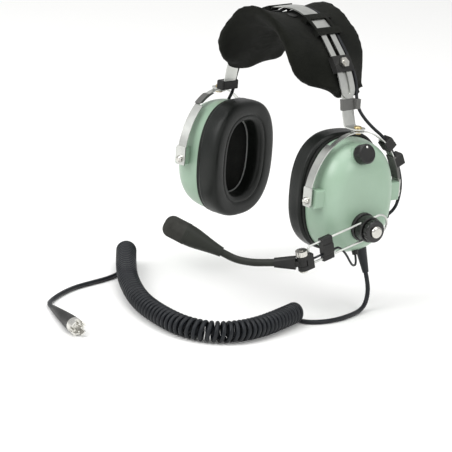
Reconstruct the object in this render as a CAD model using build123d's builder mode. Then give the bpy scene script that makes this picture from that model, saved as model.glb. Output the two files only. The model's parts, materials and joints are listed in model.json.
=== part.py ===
"""Aviation headset with a boom microphone and a coiled cord, as separate solids.

Row frame in millimetres: the origin is midway between the ear cups at the level of the
cup pivots, +Z is up, the wearer faces -Y and the wearer's left ear is at +X.
"""

import os
from math import asin, cos, degrees, pi, radians, sin, sqrt, tan

from build123d import *

os.makedirs("parts", exist_ok=True)

# ---- cup placement ---------------------------------------------------------
CUP_X = 89.0            # pivot axis from the middle plane
TOE = 8.0               # cups turned so that their fronts are closer together
OVAL_POWER = 2.4        # squareness of the cup outline
OVAL_STEPS = 24

# ---- cup and seal, measured outwards from the pivot axis --------------------
SEAL_FACE = -37.0
SEAL_BACK = -16.2
DOME_BASE = -13.4
DOME_TOP = 19.6
DOME_W = 82.0
DOME_H = 104.0
DOME_WALL = 2.2
SEAL_W = 92.0
SEAL_H = 110.0
HOLE_W = 47.5
HOLE_H = 70.5
# height share of the dome and the outline scale there
DOME_FORM = ((0.0, 1.0), (0.25, 0.992), (0.5, 0.96), (0.74, 0.885), (0.91, 0.76), (0.975, 0.64), (1.0, 0.5))

# ---- pivots and stirrup ----------------------------------------------------
PIVOT_Z = 1.0
STIRRUP_A = 51.0        # outer half width of the band
STIRRUP_B = 60.5        # its outer height over the pivot level
BAND = 1.0
PIN_R = 1.6
FIT = 0.06              # radial clearance of a turning pin

# ---- headband --------------------------------------------------------------
SIDE_R = 79.5           # radius of the sliding part of the spring
SIDE_X = -3.0           # its centre, seen from the left side
SIDE_Z = 70.0
SIDE_END = 43.0         # degrees above level where the arc ends
SHOULDER = 16.0         # straight run between side arc and crown
SPRING_W = 17.5
SPRING_T = 1.2
SLOT_W = 5.0
SPRING_LOW = 87.0       # lowest point of the spring's rounded ends
STRAP_W = 14.0
STRAP_R = SIDE_R - 1.5
FOOT_Z = 62.4
CLAMP_A = 34.8          # degrees above level

# ---- boom ------------------------------------------------------------------
HUB_Y = -1.0
HUB_Z = -22.3
BOOM_DROP = 15.4        # degrees below level at rest
WIRE_X = 28.5
WIRE_GAP = 8.4          # each wire from the hub axis
WIRE_R = 1.0
JOINT_T = 74.5          # microphone joint from the hub axis, along the boom

# ---- cord ------------------------------------------------------------------
CORD_D = 4.2
COIL_D = 20.0
FLOOR_Z = -108.0


def cup_point(x, y, z):
    """Left cup coordinates (outwards, backwards, up) to the row frame."""
    t = radians(TOE)
    return (CUP_X + x * cos(t) + y * sin(t), -x * sin(t) + y * cos(t), z)


def cup_dir(x, y, z):
    t = radians(TOE)
    return (x * cos(t) + y * sin(t), -x * sin(t) + y * cos(t), z)


def cup_plane(x, y=0.0, z=0.0):
    """Plane facing outwards from the left cup: its axes are backwards and up."""
    return Plane(origin=cup_point(x, y, z), x_dir=cup_dir(0, 1, 0), z_dir=cup_dir(1, 0, 0))


def cup_axis_plane(point, direction, across=(0, 1, 0)):
    return Plane(origin=cup_point(*point), x_dir=cup_dir(*across), z_dir=cup_dir(*direction))


def oval_points(width, height):
    points = []
    for i in range(OVAL_STEPS):
        a = 2 * pi * (i + 0.5) / OVAL_STEPS
        c = cos(a)
        s = sin(a)
        u = abs(c) ** (2 / OVAL_POWER) * width / 2
        v = abs(s) ** (2 / OVAL_POWER) * height / 2
        points.append((u if c > 0 else -u, v if s > 0 else -v))
    return points


def oval(width, height):
    """Filled cup outline in the current sketch."""
    with BuildLine() as outline:
        Spline(*oval_points(width, height), periodic=True)
    make_face(outline.edges())


def cup_depth(point):
    """How far outwards a row point lies from the left pivot axis."""
    t = radians(TOE)
    return (point.X - CUP_X) * cos(t) - point.Y * sin(t)


def cup_side(point):
    """How far backwards a row point lies from the left cup's middle."""
    t = radians(TOE)
    return (point.X - CUP_X) * sin(t) + point.Y * cos(t)


def route_radii(points):
    """Arc radius at each inner point, from its shorter run and its turn."""
    radii = []
    for a, b, c in zip(points, points[1:], points[2:]):
        u = Vector(*b) - Vector(*a)
        v = Vector(*c) - Vector(*b)
        turn = radians(u.get_angle(v))
        radii.append(0.45 * min(u.length, v.length) / tan(turn / 2))
    return radii


def route_length(points, radii):
    with BuildLine() as route:
        FilletPolyline(*points, radius=radii)
    return route.wire().length


def tube(points, diameter, radii=None):
    """Round cord along straight runs joined by tangent arcs."""
    radii = radii or route_radii(points)
    start = Vector(*points[0])
    with BuildPart() as cord:
        with BuildLine():
            FilletPolyline(*points, radius=radii)
        with BuildSketch(Plane(origin=start, z_dir=Vector(*points[1]) - start)):
            Circle(diameter / 2)
        sweep()
    return cord.part


def report_cord(name, part, points, diameter):
    radii = route_radii(points)
    length = route_length(points, radii)
    share = part.volume / (pi * diameter * diameter / 4 * length)
    print(f"{name}: length {length:.1f}, radii {[round(r) for r in radii]}, volume share {share:.3f}")


def save(part, name):
    part.label = name
    export_step(part, f"parts/{name}.step")


def save_pair(part, name):
    """The left piece and its mirror image on the right."""
    save(part, name + "_left")
    with BuildPart() as twin:
        mirror(objects=part, about=Plane.YZ)
    save(twin.part, name + "_right")
    return twin.part


# ---- ear cup, left ---------------------------------------------------------
def dome_levels(wall):
    for share, scale in DOME_FORM:
        x = DOME_BASE + share * (DOME_TOP - wall - DOME_BASE)
        yield x, DOME_W * scale - 2 * wall, DOME_H * scale - 2 * wall


BOSS_W = 17.0           # pivot boss: height along Z
BOSS_OUT = 47.2         # its outer face from the cup's middle
KNOB_TILT = 20.0
KNOB_AT = (15.0, -6.5, 42.6)
KNOB_DIR = (cos(radians(KNOB_TILT)), 0, sin(radians(KNOB_TILT)))
HUB_SEAT = DOME_TOP + 0.2
RELIEF_TOP = (91.0, 15.4, -47.0)
RELIEF_END = (93.0, 23.4, -72.2)


def knob_plane(rise):
    x, y, z = (p + rise * d for p, d in zip(KNOB_AT, KNOB_DIR))
    return cup_axis_plane((x, y, z), KNOB_DIR)


relief_dir = Vector(*RELIEF_END) - Vector(*RELIEF_TOP)
relief_plane = Plane(origin=RELIEF_TOP, x_dir=(1, 0, 0), z_dir=relief_dir)
gland_plane = cup_axis_plane((-4.0, 36.0, -22.6), (0, 1, 0), (1, 0, 0))
mic_gland_plane = cup_axis_plane((6.0, 3.0, -44.0), (0.35, 0, -0.94))


def dome_form(wall):
    """The closed form of a dome, inside its wall when one is given."""
    with BuildPart() as form:
        for level, wide, high in dome_levels(wall):
            with BuildSketch(cup_plane(level)):
                oval(wide, high)
        loft()
    return form.part


def pivot_bosses():
    with BuildPart() as bosses:
        for side in (1, -1):
            with BuildSketch(cup_axis_plane((3.0, side * 34.0, PIVOT_Z + 2.0), (0, side, 0), (1, 0, 0))):
                RectangleRounded(11.0, BOSS_W, 2.0)
            extrude(amount=BOSS_OUT - 34.0)
    return bosses.part


def pin_holes():
    with BuildPart() as holes:
        for side in (1, -1):
            with BuildSketch(cup_axis_plane((0, side * 41.5, PIVOT_Z), (0, side, 0), (1, 0, 0))):
                Circle(PIN_R + FIT)
            extrude(amount=8.0)
    return holes.part


outer_form = dome_form(0.0)
inner_form = dome_form(DOME_WALL)

with BuildPart() as plain_dome:
    add(outer_form)
    add(pivot_bosses())
    add(inner_form, mode=Mode.SUBTRACT)
    add(pin_holes(), mode=Mode.SUBTRACT)

with BuildPart() as dome_left:
    add(outer_form)
    add(pivot_bosses())
    with BuildSketch(cup_plane(14.0, HUB_Y, HUB_Z)):
        Circle(13.6)
    extrude(amount=HUB_SEAT - 14.0)
    with BuildSketch(knob_plane(-6.0)):
        Circle(8.6)
    extrude(amount=6.0)
    add(inner_form, mode=Mode.SUBTRACT)
    add(pin_holes(), mode=Mode.SUBTRACT)
    with BuildSketch(cup_plane(0.0, HUB_Y, HUB_Z)):
        Circle(3.3)
    extrude(amount=40.0, mode=Mode.SUBTRACT)
    with BuildSketch(knob_plane(-9.0)):
        Circle(3.1)
    extrude(amount=20.0, mode=Mode.SUBTRACT)
    with BuildSketch(relief_plane.offset(-8.0)):
        Circle(3.4)
    extrude(amount=20.0, mode=Mode.SUBTRACT)
    with BuildSketch(gland_plane.offset(-4.0)):
        Circle(2.6)
    extrude(amount=14.0, mode=Mode.SUBTRACT)
    with BuildSketch(mic_gland_plane.offset(-4.0)):
        Circle(2.1)
    extrude(amount=16.0, mode=Mode.SUBTRACT)
save(dome_left.part, "dome_left")

with BuildPart() as baffle:
    with BuildSketch(cup_plane(SEAL_BACK)):
        oval(DOME_W + 3.0, DOME_H + 2.5)
        Circle(17.0, mode=Mode.SUBTRACT)
    extrude(amount=DOME_BASE - SEAL_BACK)
save_pair(baffle.part, "baffle")

with BuildPart() as ear_seal:
    with BuildSketch(cup_plane(SEAL_FACE)):
        oval(SEAL_W, SEAL_H)
    extrude(amount=SEAL_BACK - SEAL_FACE)
    with BuildSketch(cup_plane(SEAL_FACE)):
        oval(HOLE_W, HOLE_H)
    extrude(amount=SEAL_BACK - SEAL_FACE, mode=Mode.SUBTRACT)
    face_edges = ear_seal.edges().filter_by(lambda e: cup_depth(e.center()) < SEAL_FACE + 0.1)
    fillet(face_edges, 8.0)
    back_edges = ear_seal.edges().filter_by(lambda e: cup_depth(e.center()) > SEAL_BACK - 0.1)
    fillet(back_edges.sort_by(Edge.length)[-1:], 2.5)
save_pair(ear_seal.part, "ear_seal")

with BuildPart() as ear_foam:
    with BuildSketch(cup_plane(SEAL_BACK - 3.4)):
        oval(HOLE_W - 1.0, HOLE_H - 1.0)
    extrude(amount=3.4)
save_pair(ear_foam.part, "ear_foam")

with BuildPart() as driver:
    with BuildSketch(cup_plane(DOME_BASE)):
        Circle(20.0)
    extrude(amount=3.5)
    with BuildSketch(cup_plane(DOME_BASE + 3.5)):
        Circle(16.0)
    extrude(amount=4.0, taper=18)
    with BuildSketch(cup_plane(DOME_BASE + 7.5)):
        Circle(11.0)
    extrude(amount=4.5)
save_pair(driver.part, "driver")

# ---- volume control --------------------------------------------------------
with BuildPart() as volume_pot:
    with BuildSketch(knob_plane(-12.4)):
        Circle(4.4)
    extrude(amount=6.0)
save(volume_pot.part, "volume_pot")

with BuildPart() as volume_knob:
    with BuildSketch(knob_plane(1.8)):
        Circle(9.0)
    extrude(amount=9.0)
    chamfer(volume_knob.edges().filter_by(GeomType.CIRCLE).sort_by(Axis.X)[-1:], 1.2)
    with BuildSketch(knob_plane(-6.2)):
        Circle(3.0)
    extrude(amount=8.2)
    with BuildSketch(knob_plane(10.4)):
        with Locations((0, 5.9)):
            Circle(1.3)
    extrude(amount=1.0, mode=Mode.SUBTRACT)
save(volume_knob.part, "volume_knob")


# ---- boom hub --------------------------------------------------------------
def hub_disc(x, radius, height, bore):
    with BuildPart() as disc:
        with BuildSketch(cup_plane(x, HUB_Y, HUB_Z)):
            Circle(radius)
            Circle(bore, mode=Mode.SUBTRACT)
        extrude(amount=height)
    return disc.part


def boom_point(t, e, x=WIRE_X):
    """Row frame point: t forwards along the boom, e across it and upwards."""
    d = radians(BOOM_DROP)
    return cup_point(x, HUB_Y - t * cos(d) - e * sin(d), HUB_Z - t * sin(d) + e * cos(d))


def boom_dir(t, e, x=0.0):
    d = radians(BOOM_DROP)
    return cup_dir(x, -t * cos(d) - e * sin(d), -t * sin(d) + e * cos(d))


def along_plane(t, e, x=WIRE_X):
    """Plane across the boom, looking forwards; its axes are outwards and up."""
    return Plane(origin=boom_point(t, e, x), x_dir=boom_dir(0, 0, 1), z_dir=boom_dir(1, 0))


def screw_plane(e, t=JOINT_T):
    """Plane across the microphone screw, looking up; its axes are forwards and sideways."""
    return Plane(origin=boom_point(t, e), x_dir=boom_dir(1, 0), z_dir=boom_dir(0, 1))


BASE_X = HUB_SEAT
CARRIER_X = BASE_X + 3.6
NUT_X = CARRIER_X + 9.4
with BuildPart() as hub_plate:
    add(hub_disc(BASE_X, 13.0, 3.2, 3.2))
    rims = hub_plate.edges().filter_by(GeomType.CIRCLE).filter_by(lambda e: e.length > 60)
    chamfer(rims.sort_by(lambda e: cup_depth(e.center()))[-1:], 0.8)
save(hub_plate.part, "hub_plate")


WIRE_POINTS = [boom_point(*p) for p in (
    (67.2, 1.2), (67.2, WIRE_GAP), (-21.0, WIRE_GAP), (-21.0, -WIRE_GAP), (68.3, -WIRE_GAP))]
WIRE_RADII = [3.0, 8.2, 8.2]
boom_wires = tube(WIRE_POINTS, 2 * WIRE_R, WIRE_RADII)
save(boom_wires, "boom_wires")


with BuildPart() as hub_carrier:
    add(hub_disc(CARRIER_X, 11.6, 9.0, 3.2))
    carrier_rims = hub_carrier.edges().filter_by(GeomType.CIRCLE).filter_by(lambda e: e.length > 60)
    chamfer(carrier_rims, 0.6)
    for e in (WIRE_GAP, -WIRE_GAP):
        with BuildSketch(along_plane(-30.0, e)):
            Circle(WIRE_R + FIT)
        extrude(amount=60.0, mode=Mode.SUBTRACT)
save(hub_carrier.part, "hub_carrier")

with BuildPart() as hub_screw:
    with BuildSketch(cup_plane(9.0, HUB_Y, HUB_Z)):
        Circle(3.1)
    extrude(amount=NUT_X + 6.6 - 9.0)
    with BuildSketch(cup_plane(NUT_X + 6.6, HUB_Y, HUB_Z)):
        Circle(5.6)
    extrude(amount=2.8)
    cap_rims = hub_screw.edges().filter_by(GeomType.CIRCLE)
    fillet(cap_rims.sort_by(lambda e: cup_depth(e.center()))[-1:], 2.4)
save(hub_screw.part, "hub_screw")

with BuildPart() as thumb_nut:
    add(hub_disc(NUT_X, 10.2, 6.2, 3.1 + FIT))
    outer_rims = thumb_nut.edges().filter_by(GeomType.CIRCLE).filter_by(lambda e: e.length > 50)
    fillet(outer_rims, 1.6)
    with BuildSketch(cup_plane(NUT_X + 1.4, HUB_Y, HUB_Z)):
        with PolarLocations(10.9, 16):
            Circle(1.15)
    extrude(amount=6.0, mode=Mode.SUBTRACT)
save(thumb_nut.part, "thumb_nut")

with BuildPart() as boom_keeper:
    with BuildSketch(along_plane(42.0, 0.0)):
        with Locations((0, 7.2)):
            RectangleRounded(6.4, 7.6, 1.6)
        with Locations((0, -7.8)):
            RectangleRounded(5.6, 6.4, 1.4)
        with Locations((0.4, -0.4)):
            RectangleRounded(7.0, 9.4, 1.0)
    extrude(amount=11.0)
    for e in (WIRE_GAP, -WIRE_GAP):
        with BuildSketch(along_plane(40.0, e)):
            Circle(WIRE_R)
        extrude(amount=20.0, mode=Mode.SUBTRACT)
    with BuildSketch(along_plane(40.0, -4.4)):
        Circle(1.2)
    extrude(amount=20.0, mode=Mode.SUBTRACT)
save(boom_keeper.part, "boom_keeper")


# ---- microphone joint ------------------------------------------------------
EAR_R = 4.9
with BuildPart() as boom_end_block:
    with BuildSketch(screw_plane(-10.8)):
        Circle(EAR_R)
        with Locations((-4.45, 0)):
            Rectangle(8.9, 2 * EAR_R)
    extrude(amount=13.8)
    with BuildSketch(screw_plane(-6.6)):
        Circle(EAR_R + 0.35)
        with Locations((EAR_R, 0)):
            Rectangle(2 * EAR_R, 4 * EAR_R)
    extrude(amount=5.6, mode=Mode.SUBTRACT)
    with BuildSketch(screw_plane(-12.0)):
        Circle(2.0)
    extrude(amount=16.0, mode=Mode.SUBTRACT)
    add(boom_wires, mode=Mode.SUBTRACT)
save(boom_end_block.part, "boom_end_block")

with BuildPart() as mic_screw:
    with BuildSketch(screw_plane(-12.6)):
        Circle(4.2)
    extrude(amount=1.8)
    chamfer(mic_screw.edges().filter_by(GeomType.CIRCLE).sort_by(Axis.Z)[:1], 0.5)
    with BuildSketch(screw_plane(-10.8)):
        Circle(2.0)
    extrude(amount=19.0)
save(mic_screw.part, "mic_screw")

with BuildPart() as mic_nut:
    with BuildSketch(screw_plane(3.2)):
        Circle(5.3)
        Circle(2.0 + FIT, mode=Mode.SUBTRACT)
        with PolarLocations(5.7, 18):
            Circle(0.62, mode=Mode.SUBTRACT)
    extrude(amount=4.6)
save(mic_nut.part, "mic_nut")

# the microphone arm leaves the joint along this level direction, towards the mouth
ARM_DIR = (-0.8, -0.6, 0.0)
EAR_E = -3.8
ear_centre = Vector(*boom_point(JOINT_T, EAR_E))


def arm_point(s, z):
    return (ear_centre.X + s * ARM_DIR[0], ear_centre.Y + s * ARM_DIR[1], z)


def arm_plane(s, z, rise=0.0):
    """Plane across the arm; its axes are sideways and up."""
    return Plane(origin=arm_point(s, z), x_dir=(0.6, -0.8, 0), z_dir=(ARM_DIR[0], ARM_DIR[1], rise))


with BuildPart() as mic_bracket:
    with BuildSketch(screw_plane(-6.3)):
        Circle(EAR_R - 0.3)
    extrude(amount=5.0)
    with BuildSketch(screw_plane(-6.3)):
        with BuildLine():
            frame = screw_plane(-6.3)
            tip = frame.to_local_coords(Vector(*arm_point(9.0, ear_centre.Z)))
            side_step = Vector(-tip.Y, tip.X).normalized() * 3.6
            Polyline(
                (side_step.X, side_step.Y), (tip.X + side_step.X, tip.Y + side_step.Y),
                (tip.X - side_step.X, tip.Y - side_step.Y), (-side_step.X, -side_step.Y), close=True)
        make_face()
    extrude(amount=5.0)
    with BuildSketch(arm_plane(6.2, ear_centre.Z - 0.9, -0.12)):
        RectangleRounded(8.6, 11.6, 2.0)
    with BuildSketch(arm_plane(25.0, ear_centre.Z - 3.2, -2.4 / 19)):
        RectangleRounded(8.2, 8.6, 3.9)
    loft()
    with BuildSketch(screw_plane(-12.0)):
        Circle(2.0 + FIT)
    extrude(amount=16.0, mode=Mode.SUBTRACT)
save(mic_bracket.part, "mic_bracket")

MIC_RISE = 5.1 / 13
TUBE_ROUTE = [arm_point(25.0, ear_centre.Z - 3.2), arm_point(44.0, ear_centre.Z - 5.6),
              arm_point(59.0, ear_centre.Z - 4.6), arm_point(72.0, ear_centre.Z + 0.5)]
flex_tube = tube(TUBE_ROUTE, 6.6)
save(flex_tube, "flex_tube")


def mic_plane(d):
    """Plane across the microphone, d along its axis from its tail."""
    k = 1 / sqrt(1 + MIC_RISE * MIC_RISE)
    return arm_plane(72.0 + d * k, ear_centre.Z + 0.5 + d * k * MIC_RISE, MIC_RISE)


MIC_FORM = ((0.0, 4.4), (6.0, 5.2), (16.0, 7.0), (27.0, 9.0), (34.0, 9.5))
with BuildPart() as mic_body:
    for d, radius in MIC_FORM:
        with BuildSketch(mic_plane(d)):
            Circle(radius)
    loft()
save(mic_body.part, "mic_body")

with BuildPart() as mic_collar:
    with BuildSketch(mic_plane(34.0)):
        Circle(9.9)
    extrude(amount=2.6)
save(mic_collar.part, "mic_collar")

with BuildPart() as mic_cap:
    with BuildSketch(mic_plane(36.6)):
        Circle(9.8)
        Circle(6.0, mode=Mode.SUBTRACT)
    extrude(amount=12.0)
    with BuildSketch(mic_plane(48.6)):
        Circle(9.8)
    extrude(amount=8.0)
    fillet(mic_cap.edges().filter_by(GeomType.CIRCLE).sort_by(Axis.X)[:1], 7.6)
save(mic_cap.part, "mic_cap")

with BuildPart() as mic_capsule:
    with BuildSketch(mic_plane(36.6)):
        Circle(5.4)
    extrude(amount=9.0)
save(mic_capsule.part, "mic_capsule")


# ---- stirrup, left ---------------------------------------------------------
LEG_TOP = 49.0
LEG_LOW = -4.5
with BuildPart() as stirrup:
    with BuildSketch(cup_plane(-0.5)):
        Ellipse(STIRRUP_A, STIRRUP_B)
        Ellipse(STIRRUP_A - BAND, STIRRUP_B - BAND, mode=Mode.SUBTRACT)
        with Locations((0, -50 + LEG_LOW)):
            Rectangle(120, 100, mode=Mode.SUBTRACT)
    extrude(amount=4.5)
    with BuildSketch(cup_plane(-5.0)):
        Ellipse(STIRRUP_A, STIRRUP_B)
        Ellipse(STIRRUP_A - BAND, STIRRUP_B - BAND, mode=Mode.SUBTRACT)
        with Locations((0, -50 + LEG_LOW), (0, 50 + LEG_TOP)):
            Rectangle(120, 100, mode=Mode.SUBTRACT)
    extrude(amount=9.0)
    with BuildSketch(Plane(origin=(CUP_X, 0, STIRRUP_B - BAND))):
        Circle(6.2)
    extrude(amount=BAND)
    for side in (1, -1):
        with BuildSketch(cup_axis_plane((0, side * (STIRRUP_A - 1.5), PIVOT_Z + 3.8), (0, side, 0), (1, 0, 0))):
            RectangleRounded(10.6, 16.6, 1.4)
        extrude(amount=1.5)
        with BuildSketch(cup_axis_plane((0, side * 40.0, PIVOT_Z), (0, side, 0), (1, 0, 0))):
            Circle(PIN_R)
        extrude(amount=20.0, mode=Mode.SUBTRACT)
    with BuildSketch(Plane(origin=(CUP_X, 0, STIRRUP_B - 6))):
        Circle(2.0 + FIT)
    extrude(amount=12.0, mode=Mode.SUBTRACT)
stirrup_right = save_pair(stirrup.part, "stirrup")

with BuildPart() as pivot_pins:
    for side in (1, -1):
        with BuildSketch(cup_axis_plane((0, side * 42.0, PIVOT_Z), (0, side, 0), (1, 0, 0))):
            Circle(PIN_R)
        extrude(amount=STIRRUP_A - 42.0)
        with BuildSketch(cup_axis_plane((0, side * STIRRUP_A, PIVOT_Z), (0, side, 0), (1, 0, 0))):
            Circle(3.3)
        extrude(amount=3.6)
    heads = pivot_pins.edges().filter_by(GeomType.CIRCLE).filter_by(lambda e: abs(cup_side(e.center())) > STIRRUP_A + 3.5)
    fillet(heads, 2.6)
save_pair(pivot_pins.part, "pivot_pins")


def band_sleeve(low, high, back, inner, outer):
    """Sleeve around one leg or shoulder of the left stirrup, between two heights."""
    with BuildPart() as sleeve:
        with BuildSketch(cup_plane(inner)):
            Ellipse(STIRRUP_A + 0.9, STIRRUP_B + 0.9)
            Ellipse(STIRRUP_A - BAND - 0.9, STIRRUP_B - BAND - 0.9, mode=Mode.SUBTRACT)
            with Locations((0, low - 60), (0, high + 60)):
                Rectangle(140, 120, mode=Mode.SUBTRACT)
            with Locations((-60 if back else 60, 0)):
                Rectangle(120, 200, mode=Mode.SUBTRACT)
        extrude(amount=outer - inner)
        add(stirrup.part, mode=Mode.SUBTRACT)
    return sleeve.part


leg_sleeve = band_sleeve(13.5, 34.0, True, -5.9, 4.9)
save(leg_sleeve, "leg_sleeve_left")
with BuildPart() as shoulder_sleeve:
    mirror(objects=band_sleeve(50.5, 57.8, False, -1.4, 4.9), about=Plane.YZ)
save(shoulder_sleeve.part, "shoulder_sleeve_right")


# ---- headband --------------------------------------------------------------
def side_point(angle, radius=SIDE_R):
    a = radians(angle)
    return (SIDE_X + radius * cos(a), SIDE_Z + radius * sin(a))


END_X, END_Z = side_point(SIDE_END)
CROWN_X = END_X - SHOULDER * sin(radians(SIDE_END))
CROWN_R = CROWN_X / cos(radians(SIDE_END))
CROWN_Z = END_Z + SHOULDER * cos(radians(SIDE_END)) - CROWN_R * sin(radians(SIDE_END))

with BuildPart() as head_spring:
    with BuildSketch(Plane.XZ):
        with BuildLine():
            left_arc = CenterArc((SIDE_X, SIDE_Z), SIDE_R, 9.0, SIDE_END - 9.0)
            left_run = Line(left_arc @ 1, (CROWN_X, CROWN_Z + CROWN_R * sin(radians(SIDE_END))))
            crown = CenterArc((0, CROWN_Z), CROWN_R, SIDE_END, 180 - 2 * SIDE_END)
            right_run = Line(crown @ 1, (-END_X, END_Z))
            CenterArc((-SIDE_X, SIDE_Z), SIDE_R, 180 - SIDE_END, SIDE_END - 9.0)
        trace(line_width=SPRING_T)
    extrude(amount=SPRING_W / 2, both=True)
    with BuildSketch(Plane.YZ):
        with Locations((0, SPRING_LOW + SPRING_W / 2)):
            Circle(SPRING_W / 2)
        with Locations((0, SPRING_LOW + SPRING_W / 2 + 60)):
            Rectangle(SPRING_W + 2, 120)
    extrude(amount=120, both=True, mode=Mode.INTERSECT)
    with BuildSketch(Plane.YZ):
        with Locations((0, 116.5)):
            SlotOverall(52.0, SLOT_W, rotation=90)
    extrude(amount=120, both=True, mode=Mode.SUBTRACT)
save(head_spring.part, "head_spring")


def strap_line():
    bend = side_point(8.0, STRAP_R)
    with BuildLine() as line:
        CenterArc((SIDE_X, SIDE_Z), STRAP_R, 8.0, CLAMP_A - 2.0)
        FilletPolyline(bend, (bend[0] + 0.9, bend[1] - 6.1), (79.0, FOOT_Z), (94.5, FOOT_Z), radius=[15.0, 2.6])
    return line


with BuildPart() as strap:
    with BuildSketch(Plane.XZ):
        trace(strap_line().edges(), line_width=1.2)
    extrude(amount=STRAP_W / 2, both=True)
    foot_corners = strap.edges().filter_by(Axis.Z).filter_by(lambda e: e.center().X > 94)
    fillet(foot_corners, 5.0)
    with BuildSketch(Plane(origin=(CUP_X, 0, FOOT_Z - 5))):
        Circle(2.0)
    extrude(amount=10, mode=Mode.SUBTRACT)


def clamp_plane(out):
    """Plane across the clamp screw, looking outwards; its axes are backwards and up."""
    x, z = side_point(CLAMP_A, SIDE_R + out)
    a = radians(CLAMP_A)
    return Plane(origin=(x, 0, z), x_dir=(0, 1, 0), z_dir=(cos(a), 0, sin(a)))


with BuildPart() as strap_left:
    add(strap.part)
    with BuildSketch(clamp_plane(-10)):
        Circle(2.0)
    extrude(amount=20, mode=Mode.SUBTRACT)
strap_right = save_pair(strap_left.part, "strap")

CLAMP_HALF = 5.4        # degrees of arc on each side of the screw
with BuildPart() as clamp_block:
    with BuildSketch(Plane.XZ):
        with BuildLine():
            CenterArc((SIDE_X, SIDE_Z), SIDE_R - 0.1, CLAMP_A - CLAMP_HALF, 2 * CLAMP_HALF)
        trace(line_width=5.4)
    extrude(amount=11.0, both=True)
    with BuildSketch(Plane.XZ):
        with BuildLine():
            CenterArc((SIDE_X, SIDE_Z), SIDE_R, CLAMP_A - 10, 20)
        trace(line_width=SPRING_T + 0.6)
    extrude(amount=SPRING_W / 2 + 0.4, both=True, mode=Mode.SUBTRACT)
    with BuildSketch(Plane.XZ):
        with BuildLine():
            CenterArc((SIDE_X, SIDE_Z), STRAP_R + 0.05, CLAMP_A - 10, 20)
        trace(line_width=1.3)
    extrude(amount=STRAP_W / 2, both=True, mode=Mode.SUBTRACT)
    with BuildSketch(clamp_plane(-10)):
        Circle(2.0)
    extrude(amount=20, mode=Mode.SUBTRACT)
save_pair(clamp_block.part, "clamp_block")

with BuildPart() as clamp_bolt:
    with BuildSketch(clamp_plane(-3.2)):
        Circle(2.0 - FIT)
    extrude(amount=6.4)
    with BuildSketch(clamp_plane(3.1)):
        RegularPolygon(4.9, 6)
    extrude(amount=2.6)
    with BuildSketch(clamp_plane(5.7)):
        Circle(2.5)
    extrude(amount=1.0)
save_pair(clamp_bolt.part, "clamp_bolt")

with BuildPart() as strap_sleeve:
    with BuildSketch(Plane.XZ):
        trace(strap_line().edges(), line_width=3.2)
        with Locations((75, 81.4)):
            Rectangle(20, 9.8, mode=Mode.INTERSECT)
    extrude(amount=STRAP_W / 2 + 1.0, both=True)
    add(strap_left.part, mode=Mode.SUBTRACT)

with BuildPart() as foot_rivet:
    with BuildSketch(Plane(origin=(CUP_X, 0, STIRRUP_B - BAND - 1.6))):
        Circle(3.2)
    extrude(amount=1.3)
    with BuildSketch(Plane(origin=(CUP_X, 0, STIRRUP_B - BAND - 0.3))):
        Circle(2.0)
    extrude(amount=FOOT_Z + 0.6 - STIRRUP_B + BAND + 0.3)
    with BuildSketch(Plane(origin=(CUP_X, 0, FOOT_Z + 0.6))):
        Circle(3.6)
    extrude(amount=1.8)
    fillet(foot_rivet.edges().filter_by(GeomType.CIRCLE).sort_by(Axis.Z)[-1:], 1.4)
save_pair(foot_rivet.part, "foot_rivet")


# ---- head pad --------------------------------------------------------------
# place along the arch, front reach, rear reach, inward curl at 40 mm, thickness
PAD_SIDE = ((11.5, 10.0, 16.0, 4.0, 8.0), (22.0, 25.0, 36.0, 12.0, 12.0), (32.0, 40.0, 42.0, 11.0, 14.0),
            (42.0, 48.0, 43.5, 4.0, 15.0))
PAD_CROWN = ((54.0, 51.0, 44.0, -2.0, 15.0), (72.0, 52.0, 44.0, -5.0, 15.0), (90.0, 52.0, 44.0, -6.0, 15.0))
PAD_DROP = 4.4          # pad surface under the spring's middle


def arch_station(angle, crown):
    """Point of the spring's middle line and the direction upwards along it, left side."""
    a = radians(angle)
    if crown:
        return (CROWN_R * cos(a), 0, CROWN_Z + CROWN_R * sin(a)), (-sin(a), 0, cos(a))
    x, z = side_point(angle)
    return (x, 0, z), (-sin(a), 0, cos(a))


def pad_outline(front, rear, curl, thick):
    """Crescent across the pad; the second axis points to the head."""
    def bow(u):
        return PAD_DROP + curl * (u / 40) ** 2
    outer = [(u, bow(u)) for u in (-front, -front / 2, 0, rear / 2, rear)]
    rim = thick * 0.45
    inner = [(rear, bow(rear) + rim), (rear * 0.7, bow(rear * 0.7) + thick * 0.9), (0, PAD_DROP + thick),
             (-front * 0.7, bow(front * 0.7) + thick * 0.9), (-front, bow(front) + rim)]
    with BuildLine() as outline:
        Spline(*outer)
        Line(outer[-1], inner[0])
        Spline(*inner)
        Line(inner[-1], outer[0])
    make_face(outline.edges())


def pad_stations():
    left = [(arch_station(p[0], False), p[1:]) for p in PAD_SIDE]
    left += [(arch_station(p[0], True), p[1:]) for p in PAD_CROWN]
    for (point, way), shape in left:
        yield Plane(origin=point, x_dir=(0, 1, 0), z_dir=way), shape
    for (point, way), shape in reversed(left[:-1]):
        x, _, z = point
        yield Plane(origin=(-x, 0, z), x_dir=(0, 1, 0), z_dir=(way[0], 0, -way[2])), shape


with BuildPart() as head_pad:
    for plane, shape in pad_stations():
        with BuildSketch(plane):
            pad_outline(*shape)
    loft()
save(head_pad.part, "head_pad")
print("pad volume", round(head_pad.part.volume), "valid", head_pad.part.is_valid)


def crown_strip(lift, thick, angle, arc, reach, offset=0.0):
    """Curved plate over the crown: its middle line is lifted off the spring's."""
    with BuildPart() as strip:
        with BuildSketch(Plane.XZ.offset(-offset)):
            with BuildLine():
                CenterArc((0, CROWN_Z), CROWN_R + lift, angle - arc / 2, arc)
            trace(line_width=thick)
        extrude(amount=reach, both=True)
    return strip.part


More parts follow.
